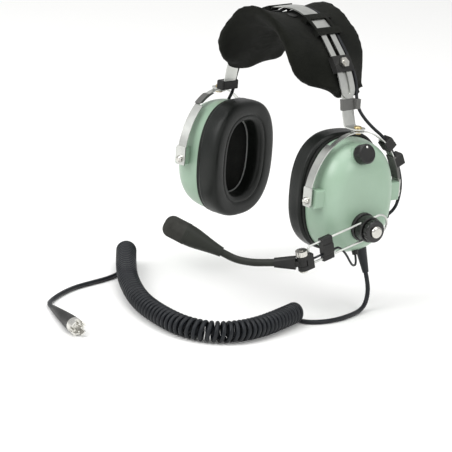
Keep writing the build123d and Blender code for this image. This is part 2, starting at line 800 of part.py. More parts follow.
LOOP_TOP = 1.5
LOOP_T = 1.0
with BuildPart() as pad_loops:
    for spot in (49.0, 66.0, 114.0, 131.0):
        add(crown_strip(LOOP_TOP, LOOP_T, spot, 6.5, 15.2, 2.8))
        for y in (-11.6, 17.2):
            add(crown_strip(-2.5, 7.0, spot, 6.5, 0.8, y))
    for spot in (57.5, 122.5):
        for y in (-11.4, 11.4):
            add(crown_strip(LOOP_TOP, LOOP_T, spot, 14.0, 1.6, y))
    add(head_pad.part, mode=Mode.SUBTRACT)
save(pad_loops.part, "pad_loops")

SNAP_Y = -13.6
with BuildPart() as pad_snaps:
    for spot in (80.0, 100.0):
        a = radians(spot)
        r = CROWN_R - PAD_DROP - 2.0
        out = (cos(a), 0, sin(a))
        with BuildSketch(Plane(origin=(r * out[0], SNAP_Y, CROWN_Z + r * out[2]), z_dir=out)):
            Circle(4.4)
        extrude(amount=3.2)
    add(head_pad.part, mode=Mode.SUBTRACT)
save(pad_snaps.part, "pad_snaps")


# ---- crossover cable -------------------------------------------------------
CROSS_D = 3.0
CROSS_Y = 13.3
CROSS_DROP = 1.2
BAND_START = (76.4, 10.0, 82.2)
BAND_TURN = (74.9, 9.8, 86.8)


def cross_station(angle, crown, y=CROSS_Y):
    a = radians(angle)
    if crown:
        r = CROWN_R - CROSS_DROP
        return (r * cos(a), y, CROWN_Z + r * sin(a))
    x, z = side_point(angle, SIDE_R - CROSS_DROP)
    return (x, y, z)


CROSS_LEFT = [
    cup_point(-4.0, 46.6, -22.6), cup_point(-3.4, 53.6, -18.6), cup_point(-1.8, 56.6, -8.0),
    cup_point(-0.6, 56.8, 6.0), cup_point(-0.4, 52.6, 20.5), cup_point(-0.4, 46.4, 32.2),
    cup_point(-0.4, 38.6, 43.6), cup_point(-0.8, 30.4, 52.8), (88.0, 20.6, 60.8), (82.4, 13.8, 69.4),
    (77.9, 10.2, 77.6), BAND_START,
]
CROSS_BAND = [BAND_START, BAND_TURN]
CROSS_BAND += [cross_station(a, False) for a in (20.0, 28.0, 36.0, 43.5)]
CROSS_BAND += [cross_station(a, True) for a in (50.0, 60.0, 71.0, 83.0)]
CROSS_BAND += [(-x, y, z) for x, y, z in reversed(CROSS_BAND)]
CROSS_RIGHT = [
    (-76.4, 10.0, 82.2), (-78.5, 10.28, 75.76), (-79.6, 9.7, 68.0), (-80.8, 10.1, 60.4), (-83.2, 9.8, 54.6),
    (-85.4, 9.2, 49.6),
]
cross_left = tube(CROSS_LEFT, CROSS_D)
cross_band = tube(CROSS_BAND, CROSS_D)
cross_right = tube(CROSS_RIGHT, CROSS_D)
save(cross_left, "cross_cable_left")
save(cross_band, "cross_cable_band")
save(cross_right, "cross_cable_right")
report_cord("cross_cable_left", cross_left, CROSS_LEFT, CROSS_D)
report_cord("cross_cable_band", cross_band, CROSS_BAND, CROSS_D)
report_cord("cross_cable_right", cross_right, CROSS_RIGHT, CROSS_D)

with BuildPart() as dome_right:
    mirror(objects=plain_dome.part, about=Plane.YZ)
    add(cross_right, mode=Mode.SUBTRACT)
save(dome_right.part, "dome_right")

with BuildPart() as sleeve_with_lug:
    add(strap_sleeve.part)
    with BuildSketch(Plane(origin=(77.4, 8.9, 77.4))):
        RectangleRounded(4.8, 5.4, 1.2)
    extrude(amount=8.6)
    add(strap_left.part, mode=Mode.SUBTRACT)
    add(cross_left, mode=Mode.SUBTRACT)
    add(cross_band, mode=Mode.SUBTRACT)
save(sleeve_with_lug.part, "strap_sleeve_left")

with BuildPart() as foot_block:
    with BuildSketch(Plane(origin=(-79.9, 1.4, FOOT_Z + 0.6))):
        RectangleRounded(9.4, 21.0, 2.4)
    extrude(amount=8.4)
    fillet(foot_block.edges().group_by(Axis.Z)[-1], 1.6)
    add(strap_right, mode=Mode.SUBTRACT)
    add(cross_right, mode=Mode.SUBTRACT)
save(foot_block.part, "foot_block_right")

CLIP_SPOTS = ((36.3, 46.0, 0.738, 0.675), (48.6, 30.2, 0.906, 0.422))
with BuildPart() as cable_clips:
    for y, z, ny, nz in CLIP_SPOTS:
        with BuildSketch(cup_axis_plane((-0.5, y - 4.9 * ny, z - 4.9 * nz), (0, ny, nz), (1, 0, 0))):
            RectangleRounded(11.4, 11.0, 1.8)
        extrude(amount=9.2)
    add(stirrup.part, mode=Mode.SUBTRACT)
    add(leg_sleeve, mode=Mode.SUBTRACT)
    add(cross_left, mode=Mode.SUBTRACT)
save(cable_clips.part, "cable_clips")

with BuildPart() as cable_glands:
    with BuildSketch(gland_plane.offset(-3.0)):
        Circle(2.6)
    extrude(amount=8.0)
    with BuildSketch(gland_plane):
        Circle(4.6)
    extrude(amount=10.6, taper=8)
    with BuildSketch(mic_gland_plane.offset(-2.0)):
        Circle(2.1)
    extrude(amount=4.0)
    with BuildSketch(mic_gland_plane):
        Circle(3.6)
    extrude(amount=8.4, taper=8)
    add(dome_left.part, mode=Mode.SUBTRACT)
    add(cross_left, mode=Mode.SUBTRACT)
save(cable_glands.part, "cable_glands")


# ---- microphone lead -------------------------------------------------------
MIC_LEAD_D = 2.0
LEAD_E = -4.4
mic_gland_tip = mic_gland_plane.offset(8.4).origin
MIC_LEAD = [
    boom_point(65.6, LEAD_E), boom_point(55.0, LEAD_E - 0.02), boom_point(38.5, LEAD_E),
    boom_point(31.5, -6.4, 24.4), boom_point(24.0, -16.0, 22.8), boom_point(18.5, -28.0, 20.2),
    boom_point(12.5, -35.6, 15.2), tuple(mic_gland_plane.offset(16.8).origin), tuple(mic_gland_tip),
]
mic_lead = tube(MIC_LEAD, MIC_LEAD_D)
save(mic_lead, "mic_lead")
report_cord("mic_lead", mic_lead, MIC_LEAD, MIC_LEAD_D)


# ---- cord ------------------------------------------------------------------
CORD_Z = FLOOR_Z + CORD_D / 2
with BuildPart() as strain_relief:
    with BuildSketch(relief_plane.offset(-4.0)):
        Circle(3.3)
    extrude(amount=8.0)
    with BuildSketch(relief_plane):
        Circle(5.3)
    with BuildSketch(relief_plane.offset(relief_dir.length)):
        Circle(2.9)
    loft()
    add(dome_left.part, mode=Mode.SUBTRACT)
save(strain_relief.part, "strain_relief")

LEAD = [
    RELIEF_END, (93.9, 27.0, -83.5), (94.1, 28.0, -94.5), (96.4, 22.6, -103.2), (100.2, 11.4, CORD_Z),
    (104.4, -3.0, CORD_Z), (107.4, -19.0, CORD_Z), (107.2, -35.0, CORD_Z), (103.6, -47.6, CORD_Z),
    (97.4, -55.8, CORD_Z), (89.9, -58.4, CORD_Z),
]
COIL_Z = FLOOR_Z + COIL_D / 2
LIFT_Z = COIL_Z + 4.8
COIL = [
    (90.5, -60.5, COIL_Z), (95.6, -79.0, COIL_Z), (101.0, -98.4, COIL_Z), (105.2, -120.0, COIL_Z),
    (105.8, -142.0, COIL_Z), (99.5, -162.0, COIL_Z), (84.5, -174.6, COIL_Z), (64.4, -178.6, COIL_Z),
    (33.0, -173.6, COIL_Z), (2.9, -164.0, COIL_Z + 0.2), (-26.3, -149.5, COIL_Z + 1.4),
    (-56.0, -130.0, COIL_Z + 3.2), (-84.3, -106.6, LIFT_Z - 0.2), (-103.0, -89.8, LIFT_Z),
    (-120.5, -73.6, LIFT_Z),
]
COIL_END = Vector(*COIL[-1])
COIL_OUT = (COIL_END - Vector(*COIL[-2])).normalized()


def beside_coil(out, side, z):
    """A point measured from the coil's far end: past its face, then towards the wearer's left."""
    at = COIL_END + COIL_OUT * out + Vector(-COIL_OUT.Y, COIL_OUT.X, 0) * -side
    return at.X, at.Y, z


TAIL = [
    beside_coil(0.7, -7.0, -97.0), beside_coil(9.0, -7.4, -99.5), beside_coil(14.5, 0.5, -102.4),
    beside_coil(8.0, 8.6, -105.0), beside_coil(-4.0, 8.4, CORD_Z), beside_coil(-14.0, 3.0, CORD_Z),
    (-103.4, -92.6, CORD_Z), (-95.4, -107.0, CORD_Z),
    (-90.0, -126.0, CORD_Z), (-87.8, -147.0, CORD_Z), (-84.6, -168.0, CORD_Z), (-77.0, -188.6, CORD_Z),
    (-69.9, -203.0, CORD_Z), (-62.6, -215.6, CORD_Z), (-53.707, -224.666, -105.101), (-42.7, -229.4, -104.4),
]
cord_lead = tube(LEAD, CORD_D)
cord_coil = tube(COIL, COIL_D)
cord_tail = tube(TAIL, CORD_D)
save(cord_lead, "cord_lead")
save(cord_coil, "cord_coil")
save(cord_tail, "cord_tail")
report_cord("cord_lead", cord_lead, LEAD, CORD_D)
report_cord("cord_coil", cord_coil, COIL, COIL_D)
report_cord("cord_tail", cord_tail, TAIL, CORD_D)

# ---- plug ------------------------------------------------------------------
PLUG_DIR = Vector(56.5, -24.3, 3.6)
BOOT_L = 61.0
SHELL_L = 12.5


def plug_plane(d):
    at = Vector(*TAIL[-1]) + PLUG_DIR.normalized() * d
    return Plane(origin=at, x_dir=(24.3, 56.5, 0), z_dir=PLUG_DIR)


with BuildPart() as plug_boot:
    for d, radius in ((0.0, 2.7), (14.0, 3.9), (30.0, 5.2), (46.0, 6.3), (BOOT_L - 1.0, 6.9), (BOOT_L, 6.5)):
        with BuildSketch(plug_plane(d)):
            Circle(radius)
    loft(ruled=True)
save(plug_boot.part, "plug_boot")

with BuildPart() as plug_shell:
    with BuildSketch(plug_plane(BOOT_L)):
        Circle(7.0)
        Circle(5.7, mode=Mode.SUBTRACT)
    extrude(amount=SHELL_L)
    with BuildSketch(plug_plane(BOOT_L + 6.5)):
        Rectangle(5.0, 20.0)
        Rectangle(20.0, 5.0)
    extrude(amount=SHELL_L, mode=Mode.SUBTRACT)
save(plug_shell.part, "plug_shell")

with BuildPart() as plug_pins:
    with BuildSketch(plug_plane(BOOT_L)):
        Circle(5.6)
    extrude(amount=3.0)
    with BuildSketch(plug_plane(BOOT_L + 3.0)):
        with PolarLocations(3.4, 5):
            Circle(0.8)
    extrude(amount=7.0)
save(plug_pins.part, "plug_pins")
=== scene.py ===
# %% [markdown]
# # A headset with a boom microphone and a curly cord
# The hard parts come ready made, with their joints. This script gives them their finishes,
# and makes what a drawing of hard parts cannot: the cord, the padded pieces and the light.

# %% Load the frame
import math

import bpy
import bmesh
import json
from mathutils import Matrix, Vector, noise


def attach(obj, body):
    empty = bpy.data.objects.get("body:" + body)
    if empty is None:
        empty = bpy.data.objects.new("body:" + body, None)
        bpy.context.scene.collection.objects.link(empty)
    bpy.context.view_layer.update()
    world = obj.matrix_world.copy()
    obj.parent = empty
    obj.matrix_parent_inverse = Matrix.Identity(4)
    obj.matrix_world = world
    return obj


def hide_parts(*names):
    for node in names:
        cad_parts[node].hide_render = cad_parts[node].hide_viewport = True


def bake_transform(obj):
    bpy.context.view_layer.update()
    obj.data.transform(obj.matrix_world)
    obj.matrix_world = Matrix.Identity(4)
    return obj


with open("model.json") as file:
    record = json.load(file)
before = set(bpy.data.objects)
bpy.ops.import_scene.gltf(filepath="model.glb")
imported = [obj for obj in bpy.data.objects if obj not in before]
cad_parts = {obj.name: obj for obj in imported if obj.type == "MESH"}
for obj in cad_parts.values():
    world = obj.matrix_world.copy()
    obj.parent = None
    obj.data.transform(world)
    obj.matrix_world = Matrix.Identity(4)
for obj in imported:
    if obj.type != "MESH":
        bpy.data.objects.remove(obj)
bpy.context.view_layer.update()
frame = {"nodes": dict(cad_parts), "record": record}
nodes = frame["nodes"]
MM = 0.001


# %% [markdown]
# ## Camera
# A long lens a few metres away keeps the two cups nearly the same size. The camera is placed from
# a direction and a distance, and moved sideways to set the object off centre.

# %% Camera
AZIMUTH = math.radians(44.9)
RISE = math.radians(15.2)
ROLL = math.radians(4.6)
DISTANCE = 2600
LENS = 226.752

back = Vector((math.sin(AZIMUTH) * math.cos(RISE), -math.cos(AZIMUTH) * math.cos(RISE), math.sin(RISE)))
level = Vector((math.cos(AZIMUTH), math.sin(AZIMUTH), 0))
upright = back.cross(level)
right = math.cos(ROLL) * level + math.sin(ROLL) * upright
up = math.cos(ROLL) * upright - math.sin(ROLL) * level
lens = bpy.data.cameras.new("camera")
lens.sensor_width = 36
lens.lens = LENS
lens.clip_end = 20
camera = bpy.data.objects.new("camera", lens)
place = (DISTANCE * back - 50.5 * right - 47.67 * up) * MM
turn = Matrix((right, up, back)).transposed().to_4x4()
camera.matrix_world = Matrix.Translation(place) @ turn
bpy.context.scene.collection.objects.link(camera)
bpy.context.scene.camera = camera
print("lens", round(lens.lens, 1), "mm")

# %% [markdown]
# ## Smooth lines
# A cord bends without corners. A NURBS curve of order 3 is pulled towards its control points
# and never turns sharply, so the route's few points give a natural lie. Reading the bare curve
# back as a mesh gives the line that a helix or a split cable follows.


# %% Curves and tubes
def smooth_curve(name, points, radius=0.0, steps=8, sides=3):
    """A NURBS curve through the route's control points, which are in millimetres."""
    data = bpy.data.curves.new(name, "CURVE")
    data.dimensions = "3D"
    line = data.splines.new("NURBS")
    line.points.add(len(points) - 1)
    for spot, p in zip(line.points, points):
        spot.co = (p[0] * MM, p[1] * MM, p[2] * MM, 1)
    line.order_u = 3
    line.use_endpoint_u = True
    line.resolution_u = steps
    data.bevel_depth = radius
    data.bevel_resolution = sides
    data.use_fill_caps = radius > 0
    piece = bpy.data.objects.new(name, data)
    bpy.context.scene.collection.objects.link(piece)
    return piece


def as_mesh(piece):
    """The piece with its modifiers applied, as a plain mesh object of the same name."""
    bpy.context.view_layer.update()
    seen = piece.evaluated_get(bpy.context.evaluated_depsgraph_get())
    data = bpy.data.meshes.new_from_object(seen)
    name = piece.name
    bpy.data.objects.remove(piece)
    made = bpy.data.objects.new(name, data)
    bpy.context.scene.collection.objects.link(made)
    for face in data.polygons:
        face.use_smooth = True
    return made


def line_of(points, steps=8):
    """Points along the smooth curve, in millimetres."""
    bare = as_mesh(smooth_curve("line", points, steps=steps))
    found = [v.co / MM for v in bare.data.vertices]
    bpy.data.objects.remove(bare)
    return found


def tube(name, points, diameter, steps=8, sides=4):
    return as_mesh(smooth_curve(name, points, diameter * MM / 2, steps, sides))


# %% [markdown]
# ## The curly cord
# A curly cord is one straight cord wound on a rod and set with heat. It leaves the cup through
# a strain relief, hangs down to the table, lies in its coils and ends in a plug. Here the
# coils' middle line is a smooth curve, and a loop adds a ring of points for each turn.

# %% Cord
CORD = 4.2
COIL = 20.0
FLOOR = -108.0
LIE = FLOOR + CORD / 2
FAT = FLOOR + COIL / 2
LEAD_ROUTE = [
    (93, 23.4, -72.2), (93.9, 27, -83.5), (94.1, 28, -94.5), (96.4, 22.6, -103.2), (100.2, 11.4, LIE),
    (104.4, -3, LIE), (107.4, -19, LIE), (107.2, -35, LIE), (103.6, -47.6, LIE), (97.4, -55.8, LIE),
]
COIL_ROUTE = [
    (90.5, -60.5, FAT), (95.6, -79, FAT), (101, -98.4, FAT), (105.2, -120, FAT), (105.8, -142, FAT),
    (99.5, -162, FAT), (84.5, -174.6, FAT), (64.4, -178.6, FAT), (33, -173.6, FAT), (2.9, -164, FAT + 0.2),
    (-26.3, -149.5, FAT + 1.4), (-56, -130, FAT + 3.2), (-84.3, -106.6, FAT + 4.6),
    (-103, -89.8, FAT + 4.8), (-120.5, -73.6, FAT + 4.8),
]
TAIL_ROUTE = [
    (-132, -71.5, -99), (-131.5, -63.5, -101.6),
    (-122, -61.5, -104.4), (-112.5, -69.5, LIE), (-107.5, -80.5, LIE),
    (-103.4, -92.6, LIE), (-95.4, -107, LIE), (-90, -126, LIE), (-87.8, -147, LIE), (-84.6, -168, LIE),
    (-77, -188.6, LIE), (-69.9, -203, LIE), (-62.6, -215.6, LIE),
    (-53.7, -224.7, -105.1), (-42.7, -229.4, -104.4),
]
TURNS = 66
PER_TURN = 14
WIND = (COIL - CORD) / 2 - 0.1


def wound(middle):
    """Ring after ring of points round the coils' middle line."""
    reach = [0.0]
    for a, b in zip(middle, middle[1:]):
        reach.append(reach[-1] + (b - a).length)
    count = TURNS * PER_TURN - PER_TURN // 6
    side = 0
    rings = []
    for i in range(1, count):
        at = reach[-1] * i / count
        while reach[side + 1] < at:
            side += 1
        share = (at - reach[side]) / (reach[side + 1] - reach[side])
        spot = middle[side].lerp(middle[side + 1], share)
        ahead = (middle[side + 1] - middle[side]).normalized()
        across = Vector((0, 0, 1)).cross(ahead).normalized()
        over = ahead.cross(across)
        a = 2 * math.pi * i / PER_TURN
        slack = WIND - 0.12 * (1 + noise.noise(Vector((at * 0.03, 0, 0))))
        rings.append(spot - slack * (math.sin(a) * across + math.cos(a) * over))
    return rings


coil_line = line_of(COIL_ROUTE, 12)
cord_route = LEAD_ROUTE + [tuple(p) for p in wound(coil_line)] + TAIL_ROUTE
cord_line = line_of(cord_route, 3)
cord = tube("cord", cord_route, CORD, 3, 2)

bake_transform(cord)
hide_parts("cord_lead", "cord_coil", "cord_tail")

# %% [markdown]
# ## Cables that cross a joint
# The crossover cable runs from cup to cup along the band, and the microphone lead from the
# boom to the cup. Each passes joints, so each is cut at a plain section.
# The cut ends share one ring, so no seam shows.


# %% Crossover cable and microphone lead
def parted(name, points, diameter, cuts):
    """One cable as several tubes, parted where it is nearest to each cut."""
    line = line_of(points, 10)
    ends = [0] + [min(range(len(line)), key=lambda i: (line[i] - Vector(c)).length) for c in cuts]
    ends.append(len(line) - 1)
    made = []
    for k, (a, b) in enumerate(zip(ends, ends[1:])):
        data = bpy.data.curves.new(name, "CURVE")
        data.dimensions = "3D"
        run = data.splines.new("POLY")
        span = line[a:b + 1]
        run.points.add(len(span) - 1)
        for spot, p in zip(run.points, span):
            spot.co = (*(p * MM), 1)
        data.bevel_depth = diameter * MM / 2
        data.bevel_resolution = 4
        data.use_fill_caps = True
        piece = bpy.data.objects.new(name + "_" + str(k + 1), data)
        bpy.context.scene.collection.objects.link(piece)
        made.append(as_mesh(piece))
    return made


TOE = math.radians(8)


def cup(x, y, z):
    """Left cup coordinates (outwards, backwards, up) as a point of the frame, in millimetres."""
    return Vector((89 + x * math.cos(TOE) + y * math.sin(TOE), y * math.cos(TOE) - x * math.sin(TOE), z))


DROP = math.radians(15.4)


def boom(t, e, x=28.5):
    """A point t forwards along the boom and e up across it, in millimetres."""
    y = -1 - t * math.cos(DROP) - e * math.sin(DROP)
    z = -22.3 - t * math.sin(DROP) + e * math.cos(DROP)
    return cup(x, y, z)


def down_arch(angle, crown):
    a = math.radians(angle)
    if crown:
        return (59.15 * math.cos(a), 13.3, 94.7 + 59.15 * math.sin(a))
    return (-3 + 78.3 * math.cos(a), 13.3, 70 + 78.3 * math.sin(a))


CROSS_LEFT = [
    cup(-4, 46.6, -22.6), cup(-3.4, 53.6, -18.6),
    cup(-1.8, 56.6, -8), cup(-0.6, 56.8, 6), cup(-0.4, 52.6, 20.5),
    cup(-0.4, 46.4, 32.2), cup(-0.4, 38.6, 43.6), cup(-0.8, 30.4, 52.8), (88, 20.6, 60.8), (82.4, 13.8, 69.4),
    (77.9, 10.2, 77.6), (76.4, 10, 82.2),
]
CROSS_BAND = [(76.4, 10, 82.2), (74.9, 9.8, 86.8)]
CROSS_BAND += [down_arch(a, False) for a in (20, 28, 36, 43.5)]
CROSS_BAND += [down_arch(a, True) for a in (50, 60, 71, 83)]
CROSS_BAND += [(-x, y, z) for x, y, z in reversed(CROSS_BAND)]
CROSS_RIGHT = [
    (-76.4, 10, 82.2), (-78.5, 10.28, 75.76), (-79.6, 9.7, 68), (-80.8, 10.1, 60.4), (-83.2, 9.8, 54.6),
    (-85.4, 9.2, 49.6),
]
GLAND = cup(6, 3, -44)
GLAND_WAY = cup(0.35, 0, -0.94) - cup(0, 0, 0)
MIC_LEAD = [
    boom(65.6, -4.4), boom(55, -4.42), boom(38.5, -4.4), boom(31.5, -6.4, 24.4), boom(24, -16, 22.8),
    boom(18.5, -28, 20.2), boom(12.5, -35.6, 15.2), GLAND + GLAND_WAY * 16.8, GLAND + GLAND_WAY * 8.4,
]


def at(p):
    return tuple(Vector(p) * MM)


left_low, left_high = parted("cross_left", CROSS_LEFT, 3, [cup(-0.4, 38.6, 43.6)])
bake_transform(left_low)
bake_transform(left_high)
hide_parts("cross_cable_left")
band_left, band_right = parted("cross_band", CROSS_BAND, 3, [(0, 13.3, 153)])
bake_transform(band_left)
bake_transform(band_right)
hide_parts("cross_cable_band")
right_high, right_low = parted("cross_right", CROSS_RIGHT, 3, [(-81, 10, 59)])
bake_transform(right_high)
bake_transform(right_low)
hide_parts("cross_cable_right")
lead_front, lead_rear = parted("mic_lead", MIC_LEAD, 2, [boom(24, -16, 22.8)])
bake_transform(lead_front)
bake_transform(lead_rear)
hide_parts("mic_lead")
cables = [left_low, left_high, band_left, band_right, right_high, right_low, lead_front, lead_rear]
print(len(cables), "lengths of cable")

# %% [markdown]
# ## Ear seals
# An ear seal is a ring of foam in a soft vinyl skin, welded along its outer edge and pulled
# back into the hole. A closed section swept round an oval gives a coarse cage, Subdivision
# Surface rounds it, and small dents along the welds keep it from looking like a hard ring.

# %% Ear seals
RING = 72
SECTION = [
    (0, -16.6), (0.5, -20), (0.2, -24), (0, -28), (0.2, -32),
    (1.4, -35.2), (4.2, -36.6), (8, -36.8), (11.8, -36.7),
    (13.8, -36), (14.4, -35), (15.1, -35.8), (17.8, -35.5),
    (20.3, -33.8), (21.2, -30.5), (21.0, -25), (21.2, -20),
    (19.6, -16.6),
]


def oval(angle, width, height, power=2.5):
    c, s = math.cos(angle), math.sin(angle)
    u = math.copysign(abs(c) ** (2 / power) * width / 2, c)
    v = math.copysign(abs(s) ** (2 / power) * height / 2, s)
    return u, v


def seal(name, mirrored):
    """The ring's cage: section points are inwards from the rim, then along the cup's axis."""
    data = bmesh.new()
    rings = []
    for i in range(RING):
        angle = 2 * math.pi * (i + 0.5) / RING
        ring = []
        for inward, depth in SECTION:
            share = inward / 21.2
            spot_noise = Vector((math.cos(angle) * 5, math.sin(angle) * 7, inward * 0.3 + mirrored * 9))
            dent = 0.35 * noise.noise(spot_noise)
            fold = dent * math.sin(math.pi * min(1, max(0, (-16 - depth) / 20)))
            u0, v0 = oval(angle, 91.4, 109.4)
            u1, v1 = oval(angle, 48.0, 71.0)
            u = u0 + (u1 - u0) * (share * 1.02) + fold * math.cos(angle)
            v = v0 + (v1 - v0) * (share * 1.02) + fold * math.sin(angle)
            spot = cup(depth + 0.1, u, v + 1) * MM
            ring.append(data.verts.new((-spot.x if mirrored else spot.x, spot.y, spot.z)))
        rings.append(ring)
    for a, b in zip(rings, rings[1:] + rings[:1]):
        for j in range(len(SECTION)):
            k = (j + 1) % len(SECTION)
            data.faces.new((a[j], a[k], b[k], b[j]))
    bmesh.ops.recalc_face_normals(data, faces=data.faces)
    mesh = bpy.data.meshes.new(name)
    data.to_mesh(mesh)
    piece = bpy.data.objects.new(name, mesh)
    bpy.context.scene.collection.objects.link(piece)
    rounder = piece.modifiers.new("round", "SUBSURF")
    rounder.levels = rounder.render_levels = 2
    for face in mesh.polygons:
        face.use_smooth = True
    return piece


seals = []
for side, mirrored in (("left", 0), ("right", 1)):
    piece = seal("seal_" + side, mirrored)
    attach(piece, "cup_" + side)
    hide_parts("ear_seal_" + side)
    seals.append(piece)
print(len(seals), "ear seals")

# %% Painted highlight: a light grey ring along the inner edge of each seal's back lip
painted_highlight_ring = []
# This grey ring is a painted highlight: it stands for the light caught by the inner edge of the seal's back
# lip.
for side, flip in (("left", 1), ("right", -1)):
    data = bpy.data.curves.new("piping_" + side, "CURVE")
    data.dimensions = "3D"
    highlight_line = data.splines.new("NURBS")
    highlight_line.points.add(RING - 1)
    for i, spot in enumerate(highlight_line.points):
        u, v = oval(2 * math.pi * (i + 0.5) / RING, 46.6, 69.6)
        p = cup(-20.3, u, v + 1) * MM
        spot.co = (flip * p.x, p.y, p.z, 1)
    highlight_line.use_cyclic_u = True
    highlight_line.order_u = 3
    data.bevel_depth = 0.0007
    data.bevel_resolution = 2
    ring = bpy.data.objects.new("piping_" + side, data)
    bpy.context.scene.collection.objects.link(ring)
    ring = as_mesh(ring)
    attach(ring, "cup_" + side)
    painted_highlight_ring.append(ring)

# %% [markdown]
# ## The knob's mark
# A dot of white paint in a small recess shows where the knob points. A flat disc with a bevelled
# edge is enough, laid square to the tilted knob.

# %% Knob dot
KNOB_TILT = math.radians(20)
knob_way = cup(math.cos(KNOB_TILT), 0, math.sin(KNOB_TILT)) - cup(0, 0, 0)
knob_up = cup(-math.sin(KNOB_TILT), 0, math.cos(KNOB_TILT)) - cup(0, 0, 0)
knob_side = knob_way.cross(knob_up)
KNOB_FACE = 10.8
middle = cup(15, -6.5, 42.6) + knob_way * KNOB_FACE + knob_up * 5.9
paint = bmesh.new()
bmesh.ops.create_circle(paint, cap_ends=True, segments=20, radius=1.05)
bmesh.ops.recalc_face_normals(paint, faces=paint.faces)
dot_mesh = bpy.data.meshes.new("knob_dot")
paint.to_mesh(dot_mesh)
dot = bpy.data.objects.new("knob_dot", dot_mesh)
bpy.context.scene.collection.objects.link(dot)
thick = dot.modifiers.new("thick", "SOLIDIFY")
thick.thickness = 0.4
edge_round = dot.modifiers.new("edge", "BEVEL")
edge_round.width = 0.1
dot = as_mesh(dot)
facing = Matrix((knob_side, knob_up, knob_way)).transposed().to_4x4()
dot.data.transform(Matrix.Translation(middle * MM) @ facing @ Matrix.Scale(MM, 4))
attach(dot, "volume_knob")

# %% [markdown]
# ## Head pad
# The pad is a foam crescent in a cloth cover. Its drawn solid is copied, turned into an even
# net, and blown up a little by the cloth simulation, so that its sides belly out and its corners
# soften. The cap on how far a point may move keeps it clear of the spring that passes over it. The
# webbing loops, the clamps and the cable press into it by up to about a millimetre.

# %% Head pad
SWELL = 0.0022


def copied(node, name):
    data = nodes[node].data.copy()
    piece = bpy.data.objects.new(name, data)
    bpy.context.scene.collection.objects.link(piece)
    shell = bmesh.new()
    shell.from_mesh(data)
    bmesh.ops.remove_doubles(shell, verts=shell.verts, dist=0.00002)
    shell.to_mesh(data)
    shell.free()
    return piece


def remeshed(piece, size):
    net = piece.modifiers.new("net", "REMESH")
    net.mode = "VOXEL"
    net.voxel_size = size
    return as_mesh(piece)


def swollen(piece, pressure, frames):
    rest = [v.co.copy() for v in piece.data.vertices]
    cloth = piece.modifiers.new("cloth", "CLOTH")
    cloth.settings.use_pressure = True
    cloth.settings.uniform_pressure_force = pressure
    cloth.settings.effector_weights.gravity = 0
    cloth.point_cache.frame_end = frames
    for step in range(1, frames + 1):
        bpy.context.scene.frame_set(step)
    made = as_mesh(piece)
    bpy.context.scene.frame_set(1)
    for v, home in zip(made.data.vertices, rest):
        move = v.co - home
        v.co = home + move * min(1, SWELL / max(move.length, 1e-9))
    return made


pad = remeshed(copied("head_pad", "pad"), 0.0032)
pad = swollen(pad, 3, 12)
smoother = pad.modifiers.new("even", "SMOOTH")
smoother.factor = 0.6
smoother.iterations = 6
pad = as_mesh(pad)
rounder = pad.modifiers.new("round", "SUBSURF")
rounder.levels = rounder.render_levels = 1
pad = as_mesh(pad)
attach(pad, "headband")
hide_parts("head_pad")
print("pad", len(pad.data.polygons), "faces")

# %% [markdown]
# ## Finishes: shared effects
# Most of the pieces need the same few effects at other sizes: fine grain in moulded plastic and
# vinyl, smudges that break up a gloss, and a weave. Each is a node group with named inputs, so
# every finish below only sets its own values.


# %% Node groups
def group(name, inputs, outputs):
    made = bpy.data.node_groups.new(name, "ShaderNodeTree")
    for label, value in inputs:
        socket = made.interface.new_socket(label, in_out="INPUT", socket_type="NodeSocketFloat")
        socket.default_value = value
    for label, kind in outputs:
        made.interface.new_socket(label, in_out="OUTPUT", socket_type=kind)
    return made, made.nodes.new("NodeGroupInput"), made.nodes.new("NodeGroupOutput")


def add(tree, kind, **values):
    node = tree.nodes.new(kind)
    for key, value in values.items():
        setattr(node, key, value)
    return node


def smudges():
    """Uneven roughness: low where fingers have polished, higher where it is dull."""
    inputs = [("Size", 30), ("Low", 0.3), ("High", 0.5)]
    tree, source, result = group("smudges", inputs, [("Roughness", "NodeSocketFloat")])
    place = add(tree, "ShaderNodeTexCoord")
    cloud = add(tree, "ShaderNodeTexNoise")
    cloud.inputs["Detail"].default_value = 5
    cloud.inputs["Roughness"].default_value = 0.65
    spread = add(tree, "ShaderNodeMapRange")
    spread.inputs["From Min"].default_value = 0.35
    spread.inputs["From Max"].default_value = 0.65
    link = tree.links.new
    link(place.outputs["Object"], cloud.inputs["Vector"])
    link(source.outputs["Size"], cloud.inputs["Scale"])
    link(cloud.outputs["Fac"], spread.inputs["Value"])
    link(source.outputs["Low"], spread.inputs["To Min"])
    link(source.outputs["High"], spread.inputs["To Max"])
    link(spread.outputs["Result"], result.inputs["Roughness"])
    return tree


def grain():
    """A fine relief: pebbled cells and a little noise."""
    tree, source, result = group("grain", [("Size", 900), ("Pebbles", 0.5)], [("Height", "NodeSocketFloat")])
    place = add(tree, "ShaderNodeTexCoord")
    cells = add(tree, "ShaderNodeTexVoronoi", feature="SMOOTH_F1")
    cloud = add(tree, "ShaderNodeTexNoise")
    both = add(tree, "ShaderNodeMix")
    link = tree.links.new
    link(place.outputs["Object"], cells.inputs["Vector"])
    link(place.outputs["Object"], cloud.inputs["Vector"])
    link(source.outputs["Size"], cells.inputs["Scale"])
    link(source.outputs["Size"], cloud.inputs["Scale"])
    link(source.outputs["Pebbles"], both.inputs["Factor"])
    link(cloud.outputs["Fac"], both.inputs["A"])
    link(cells.outputs["Distance"], both.inputs["B"])
    link(both.outputs["Result"], result.inputs["Height"])
    return tree


